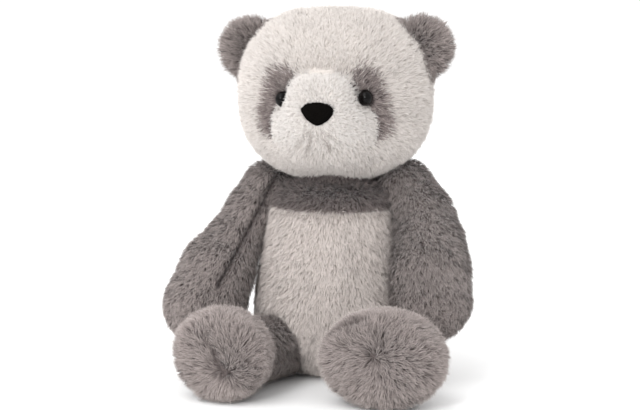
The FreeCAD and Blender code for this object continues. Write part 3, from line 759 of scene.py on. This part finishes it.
def leg_comb(side):
    foot = FEET[side]
    hip = JOINTS["leg_%s_swing" % side]
    along = unit(foot["centre"] - hip)

    def comb(p, normal):
        across, up, ahead = on_foot(side, p)
        right, above = across - foot["whorl"][0], up - foot["whorl"][1]
        swirl = 0.7 * drift(p, 30.0, 5)
        radial = ((right - above * swirl)[:, None] * foot["side"]
                  + (above + right * swirl)[:, None] * vec(0, 0, 1))
        sole = np.clip((ahead - 2.0) / 8.0, 0, 1)[:, None]
        back = -foot["out"] * 0.5 - vec(0, 0, 0.7)
        flank = np.where(np.abs(ahead)[:, None] < 30, back, along * 0.4 - vec(0, 0, 0.8))
        return unit(radial) * sole + flank * (1 - sole)
    return comb


def ear_comb(side):
    root, _, outward = ear_frame(side)

    def comb(p, normal):
        return unit(p - root + outward * 6)
    return comb


# ---------------------------------------------------------------- building the parts

def make_part(body, form, start, end, radius, rows, panels, comb, seed, avoid=(), spare=(),
              partings=()):
    """The cloth and the pile of one stuffed part, panel by panel."""
    p, faces = wrap(form, start, end, radius, rows)
    label = split_panels(p, faces, form, panels)
    strands = grow(p, faces, form, panels, comb, seed, avoid, spare, partings)
    for index, panel in enumerate(panels):
        cloth = cloth_piece(panel["name"] + "_cloth", p, faces[label == index],
                            BACKING[panel["kind"]])
        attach(cloth, body)
        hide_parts(*panel["nodes"])
        chosen = strands["keep"] & (strands["label"] == index)
        fur = pile_piece(panel["name"] + "_pile", strands, chosen, PILES[panel["kind"]])
        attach(fur, body)


def panel(name, kind, inside, style, *nodes, soft=0.5):
    return {"name": name, "kind": kind, "inside": inside, "pile": style,
            "nodes": nodes or (name,), "soft": soft}


# Where the lines of the mouth end, across and up.
MOUTH_ENDS = ((1, 178), (-8, 185), (9, 187), (-15, 191), (16, 193))


def mouth_line(x, z):
    """The distance from a short line that runs down from the nose."""
    start, end = vec(x * 0.3, -84, 203), vec(x, -72, z)
    return lambda p: np.abs(round_cone(p, start, end, 0.5, 0.4))


def make_head():
    rear = lambda p: SIDE_SEAM - p[:, 1]
    panels = [
        panel("jowl", "cream", lambda p: np.maximum(muzzle_edge(p), p[:, 2] - 190),
              pile(6.5, 56, 0.25), "jowl_panel", soft=vec(0.6, 0.6, 8.0)),
        panel("muzzle", "white", muzzle_edge, pile(4.5, 56, 0.15, 0.42), "muzzle_panel"),
        panel("eye_patch_left", "patch", patch_edge(LEFT), pile(7.0, 48, 0.4), soft=2.6),
        panel("eye_patch_right", "patch", patch_edge(RIGHT), pile(7.0, 48, 0.4), soft=2.6),
        panel("head_back_left", "cream", lambda p: np.maximum(rear(p), -p[:, 0]),
              pile(7.0, 56, 0.25), "head_back_panel_left"),
        panel("head_back_right", "cream", lambda p: np.maximum(rear(p), p[:, 0]),
              pile(7.0, 56, 0.25), "head_back_panel_right"),
        panel("forehead", "cream",
              lambda p: np.maximum(np.abs(p[:, 0]) - 26, 222 - p[:, 2]),
              pile(4.8, 64, 0.08, 0.42), "forehead_panel", "head_stuffing"),
        panel("chin", "cream", lambda p: p[:, 2] - 183, pile(6.5, 56, 0.25), "chin_panel"),
        panel("cheek_left", "cream", lambda p: -p[:, 0], pile(7.0, 54, 0.25), "cheek_panel_left"),
        panel("cheek_right", "cream", outside, pile(7.0, 54, 0.25), "cheek_panel_right"),
    ]
    eyeballs = [lambda p, eye=eye: ball(p, eye, 6.0) for eye in EYES.values()]
    nose_room = lambda p: ball(p * vec(1, 1, 1.35), NOSE * vec(1, 1, 1.35), 11.4)
    nose_core = lambda p: nose_room(p) + 1.6
    mouth = [(mouth_line(*end), 1.4, 0.9) for end in MOUTH_ENDS]
    make_part("head", head_form, HEAD - vec(20, 0, 0), HEAD + vec(20, 0, 0), 75, 76, panels,
              face_comb, 11, avoid=eyeballs + [nose_room], spare=eyeballs + [nose_core],
              partings=mouth + [(back_line, 2.4, 0.4)])


def make_ears():
    for side, sign in SIDES:
        root, centre, outward = ear_frame(side)
        panels = [
            panel("ear_%s_front" % side, "grey", lambda p: p[:, 1], pile(9.0, 40),
                  "ear_%s_front_panel" % side),
            panel("ear_%s_back" % side, "grey", outside, pile(9.0, 42),
                  "ear_%s_back_panel" % side),
        ]
        make_part("ear_" + side, ear_form(side), root, centre + outward * 6, 20, 30, panels,
                  ear_comb(side), 31 + int(sign), avoid=[lambda p: head_form(p) - 4.0])


def make_torso():
    front = lambda p: p[:, 1] - SIDE_SEAM
    panels = [
        panel("seat", "grey", lambda p: p[:, 2] - 5.0, pile(3.0, 60), "seat_panel"),
        # The chest's darker pile kind and its lower tone are painted shade under the head.
        panel("chest", "chest", lambda p: np.maximum(front(p), CHEST_SEAM - p[:, 2]),
              pile(7.5, 52, tone=-0.1), "chest_panel", "torso_stuffing", soft=0.8),
        panel("belly", "belly", front, pile(7.0, 56, 0.3), "belly_panel", soft=0.8),
        panel("back_left", "grey", lambda p: -p[:, 0], pile(7.5, 52), "back_panel_left"),
        panel("back_right", "grey", outside, pile(7.5, 52), "back_panel_right"),
    ]
    limbs = [arm_form(side) for side, _ in SIDES] + [leg_form(side) for side, _ in SIDES]
    make_part("torso", torso_form, vec(0, 0, 40), vec(0, 0, 110), 75, 70, panels, torso_comb, 51,
              avoid=limbs + [head_form], partings=[(back_line, 2.4, 0.5)])


def make_neck():
    # The neck wears the chest's darker pile: painted shade under the head.
    panels = [panel("neck", "chest", outside, pile(5.0, 50), "neck_cover", "neck_stuffing")]
    make_part("neck", neck_form, NECK, NECK + vec(0, 0, 1), 32, 24, panels, neck_comb, 61,
              avoid=[head_form, torso_form])


def arm_parting(side):
    """The seam down the front of an arm, which fades before the paw."""
    start, end = arm_axis(side)
    normal, line = arm_seam(side), end - start

    def distance(p):
        share = (p - start) @ line / (line @ line)
        behind = np.maximum(-(p - start - share[:, None] * line) @ ARM_SEAMS[side], 0)
        return np.abs((p - start) @ normal) + behind + np.clip(share - 0.86, 0, 1) * 60
    return distance, 3.0, 0.8


def make_arms():
    for side, sign in SIDES:
        start, end = arm_axis(side)
        seam = lambda p, start=start, normal=arm_seam(side): (p - start) @ normal
        # The left arm's pile is painted darker and the right arm's lighter: painted shade and painted
        # light for how the lamps fall on them.
        style = pile(7.5, 50, tone=-0.15 * sign)
        panels = [
            panel("arm_%s_outer" % side, "grey", lambda p, seam=seam: -seam(p), style,
                  "arm_%s_outer_panel" % side, "arm_%s_stuffing" % side),
            panel("arm_%s_inner" % side, "grey", outside, style, "arm_%s_inner_panel" % side),
        ]
        make_part("arm_" + side, arm_form(side), start, end, 34, 46, panels, arm_comb(side),
                  71 + int(sign), avoid=[torso_form, head_form, leg_form(side)],
                  partings=[arm_parting(side)])


def sole_crease(side, crease):
    """The distance from a crease in a sole, and far off behind the sole."""
    def distance(p):
        across, up, ahead = on_foot(side, p)
        return crease_distance(across, up, crease) + np.maximum(10 - ahead, 0)
    return distance


def make_legs():
    for side, sign in SIDES:
        foot = FEET[side]
        hip = JOINTS["leg_%s_swing" % side]
        normal = seam_side(hip, foot["centre"])
        panels = [
            # The right sole's pile is painted lighter than the left's: painted light.
            panel("foot_%s_sole" % side, "grey", lambda p, side=side: 6.0 - on_foot(side, p)[2],
                  pile(9.0, 46, tone=0.3 if side == "right" else 0.0),
                  "foot_%s_sole_panel" % side),
            panel("foot_%s_side" % side, "grey", lambda p, side=side: -21.0 - on_foot(side, p)[2],
                  pile(8.0, 52), "foot_%s_side_panel" % side),
            panel("leg_%s_upper" % side, "grey",
                  lambda p, hip=hip, normal=normal: -((p - hip) @ normal), pile(8.5, 52),
                  "leg_%s_upper_panel" % side, "leg_%s_stuffing" % side),
            panel("leg_%s_lower" % side, "grey", outside, pile(7.0, 56),
                  "leg_%s_lower_panel" % side),
        ]
        make_part("leg_" + side, leg_form(side), hip, foot["centre"], 48, 56, panels,
                  leg_comb(side), 81 + int(sign), avoid=[torso_form],
                  partings=[(sole_crease(side, crease), 2.6, foot["crease_strength"])
                            for crease in foot["creases"]])


# ---------------------------------------------------------------- nose and eyes

def nose_outline(count):
    """The nose's rim seen from the front: wide above, and narrowing to a low point."""
    line = np.array(((14.2, 2.8), (9.6, 7.8), (0, 9.0), (-9.6, 7.8), (-14.2, 2.8), (-8.6, -5.2),
                     (0, -10.6), (8.6, -5.2)))
    knots = np.linspace(0, 1, len(line) + 1)
    at = (np.arange(count) + 0.5) / count
    closed = np.vstack((line, line[:1]))
    ring = np.stack([np.interp(at, knots, closed[:, k]) for k in (0, 1)], axis=1)
    for _ in range(5):
        ring = ring * 0.5 + (np.roll(ring, 1, axis=0) + np.roll(ring, -1, axis=0)) * 0.25
    return ring


def face_front(x, z):
    """How far forward the face's cloth comes at these places."""
    p = np.stack((x, np.full(len(x), -95.0), z), axis=1)
    for _ in range(40):
        p[:, 1] += head_form(p) * 0.9
    return p[:, 1]


def make_nose():
    """A flocked cushion with a rounded edge that follows the curve of the snout."""
    around, rings = 72, 14
    outline = nose_outline(around)
    points = [vec(0, 0, 0)]
    for share in np.linspace(1 / rings, 1, rings):
        ring = outline * share
        points.extend(np.stack((ring[:, 0], np.full(around, share), ring[:, 1]), axis=1))
    points = np.array(points)
    share = points[:, 1].copy()
    dome = 5.4 * np.sqrt(np.maximum(1 - share ** 3.2, 0))
    crease = 0.5 * np.exp(-(points[:, 0] / 1.6) ** 2) * (points[:, 2] < 1)
    points[:, 0] += NOSE[0]
    points[:, 2] += NOSE[2]
    points[:, 1] = face_front(points[:, 0], points[:, 2]) + 0.5 - dome + crease
    faces3 = [(0, 1 + k, 1 + (k + 1) % around) for k in range(around)]
    faces4 = []
    for row in range(rings - 1):
        inner, outer = 1 + row * around, 1 + (row + 1) * around
        for k in range(around):
            after = (k + 1) % around
            faces4.append((inner + k, outer + k, outer + after, inner + after))
    material, tree, shader = new_material("nose_flock", Roughness=0.85, Specular_IOR_Level=0.02)
    place = tree.nodes.new("ShaderNodeTexCoord")
    flock = tree.nodes.new("ShaderNodeTexNoise")
    flock.inputs["Scale"].default_value = 1500.0
    tree.links.new(place.outputs["Object"], flock.inputs["Vector"])
    colour = ramp(tree, flock.outputs["Fac"], [(0.3, linear(6, 5, 4)), (0.7, linear(14, 12, 11))])
    tree.links.new(colour, shader.inputs["Base Color"])
    bump = tree.nodes.new("ShaderNodeBump")
    bump.inputs["Strength"].default_value = 0.5
    bump.inputs["Distance"].default_value = 0.0003
    tree.links.new(flock.outputs["Fac"], bump.inputs["Height"])
    tree.links.new(bump.outputs["Normal"], shader.inputs["Normal"])
    nose = mesh_object("nose_cushion", points, [np.array(faces3), np.array(faces4)], material)
    back = nose.modifiers.new("thickness", "SOLIDIFY")
    back.thickness = 3.0 * MM
    back.offset = -1
    apply_modifiers(nose)
    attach(nose, "head")
    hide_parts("nose")


EYE_RADIUS, EYE_HEIGHT = 5.2, 5.9
# How much taller than wide an eye is.
EYE_UPRIGHT = 1.14


def make_eyes():
    """Domed safety eyes: a tall, glossy cap on a thin flange, seated in the cloth."""
    material, tree, shader = new_material("eye_gloss", Roughness=0.03, Specular_IOR_Level=0.14)
    place = tree.nodes.new("ShaderNodeTexCoord")
    cloud = tree.nodes.new("ShaderNodeTexNoise")
    cloud.inputs["Scale"].default_value = 160.0
    tree.links.new(place.outputs["Object"], cloud.inputs["Vector"])
    colour = ramp(tree, cloud.outputs["Fac"], [(0.3, linear(3, 2, 2)), (0.7, linear(10, 7, 6))])
    tree.links.new(colour, shader.inputs["Base Color"])
    profile = [(0.0, EYE_HEIGHT)] + [(math.sin(t) * EYE_RADIUS, math.cos(t) * EYE_HEIGHT)
                                     for t in np.linspace(0.12, math.pi / 2, 14)]
    profile += [(5.5, -0.1), (5.5, -0.5), (5.3, -0.9), (2.0, -1.0), (2.0, -9.0), (1.4, -10.0),
                (0.0, -10.0)]
    around = 48
    for side, _ in SIDES:
        eye = EYES[side]
        out = unit(gradient(head_form, eye[None, :])[0])
        out = unit(out * vec(0.6, 1, 0.6))
        level = unit(np.cross(out, vec(0, 0, 1)))
        upright = np.cross(level, out)
        surface = eye - out * 0.4
        points, faces = [], []
        for radius, height in profile:
            for k in range(around):
                angle = 2 * math.pi * k / around
                points.append(surface + out * (height + 0.6) + level * radius * math.cos(angle)
                              + upright * radius * EYE_UPRIGHT * math.sin(angle))
        for row in range(len(profile) - 1):
            for k in range(around):
                after = (k + 1) % around
                faces.append((row * around + k, (row + 1) * around + k,
                              (row + 1) * around + after, row * around + after))
        cap = mesh_object("eye_%s_cap" % side, np.array(points), [np.array(faces)], material)
        weld = cap.modifiers.new("weld", "WELD")
        weld.merge_threshold = 0.00001
        apply_modifiers(cap)
        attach(cap, "head")
        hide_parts("eye_" + side)


def dress_hidden_nodes():
    """Real materials for the CAD pieces that stay: washers, pouches and the closing thread."""
    plastic, tree, shader = new_material("washer_plastic", Roughness=0.45)
    place = tree.nodes.new("ShaderNodeTexCoord")
    grain = tree.nodes.new("ShaderNodeTexNoise")
    grain.inputs["Scale"].default_value = 700.0
    tree.links.new(place.outputs["Object"], grain.inputs["Vector"])
    tree.links.new(ramp(tree, grain.outputs["Fac"], [(0.3, linear(222, 222, 218)),
                                                     (0.7, linear(238, 238, 235))]),
                   shader.inputs["Base Color"])
    pouch = cloth_material("pouch_weave", (205, 200, 190), (232, 228, 220), 1600.0)
    thread = cloth_material("thread_twist", (92, 84, 83), (130, 120, 118), 2400.0)
    for name, node in frame["nodes"].items():
        if node.hide_render:
            continue
        finish = plastic if "washer" in name else pouch if "pouch" in name else thread
        for slot in node.material_slots:
            slot.material = finish


# ---------------------------------------------------------------- studio

# Each lamp's place in metres, its width and its power.
LAMPS = {"key": ((-0.8, -1.2, 2.0), 1.6, 20.0), "spark": ((-0.3, -1.45, 0.75), 0.34, 9.0),
         "rim": ((0.6, 1.5, 1.5), 1.2, 14.0)}
LIT_POINT = Vector((0, 0, 0.13))
FLOOR_HALF = 3000.0


def make_studio():
    floor_material, tree, shader = new_material("pale_floor", Roughness=0.9,
                                                Specular_IOR_Level=0.1)
    place = tree.nodes.new("ShaderNodeTexCoord")
    paper = tree.nodes.new("ShaderNodeTexNoise")
    paper.inputs["Scale"].default_value = 3.0
    tree.links.new(place.outputs["Object"], paper.inputs["Vector"])
    tree.links.new(ramp(tree, paper.outputs["Fac"], [(0.3, (0.93, 0.93, 0.93, 1)),
                                                     (0.7, (0.95, 0.95, 0.95, 1))]),
                   shader.inputs["Base Color"])
    corners = FLOOR_HALF * np.array([(-1, -1, 0), (1, -1, 0), (1, 1, 0), (-1, 1, 0)])
    floor = mesh_object("studio_floor", corners, [np.array([(0, 1, 2, 3)])], floor_material)

    world = bpy.data.worlds.new("studio")
    world.use_nodes = True
    sky = world.node_tree.nodes["Background"]
    sky.inputs["Color"].default_value = (1.0, 1.0, 1.0, 1)
    sky.inputs["Strength"].default_value = 1.09
    bpy.context.scene.world = world
    for name, (at, size, power) in LAMPS.items():
        light = bpy.data.lights.new(name, "AREA")
        light.size = size
        light.energy = power
        lamp = bpy.data.objects.new(name, light)
        lamp.location = at
        lamp.rotation_euler = (LIT_POINT - lamp.location).to_track_quat("-Z", "Y").to_euler()
        bpy.context.scene.collection.objects.link(lamp)


def make_camera():
    """The photograph's view: a little to the panda's left and just above it."""
    azimuth, elevation, distance = math.radians(10.6), math.radians(8.5), 1.6
    away = Vector((math.sin(azimuth) * math.cos(elevation),
                   -math.cos(azimuth) * math.cos(elevation), math.sin(elevation)))
    right = Vector((math.cos(azimuth), math.sin(azimuth), 0))
    aim = Vector((0, 0, 0.150)) - right * 0.0124 - away.cross(right) * 0.0171
    camera = bpy.data.objects.new("camera", bpy.data.cameras.new("camera"))
    camera.data.lens = 112.7
    camera.location = aim + away * distance
    camera.rotation_euler = (-away).to_track_quat("-Z", "Y").to_euler()
    bpy.context.scene.collection.objects.link(camera)
    bpy.context.scene.camera = camera


make_camera()
make_head()
make_ears()
make_torso()
make_neck()
make_arms()
make_legs()
make_nose()
make_eyes()
dress_hidden_nodes()
make_studio()
bpy.context.scene.view_settings.view_transform = "Standard"
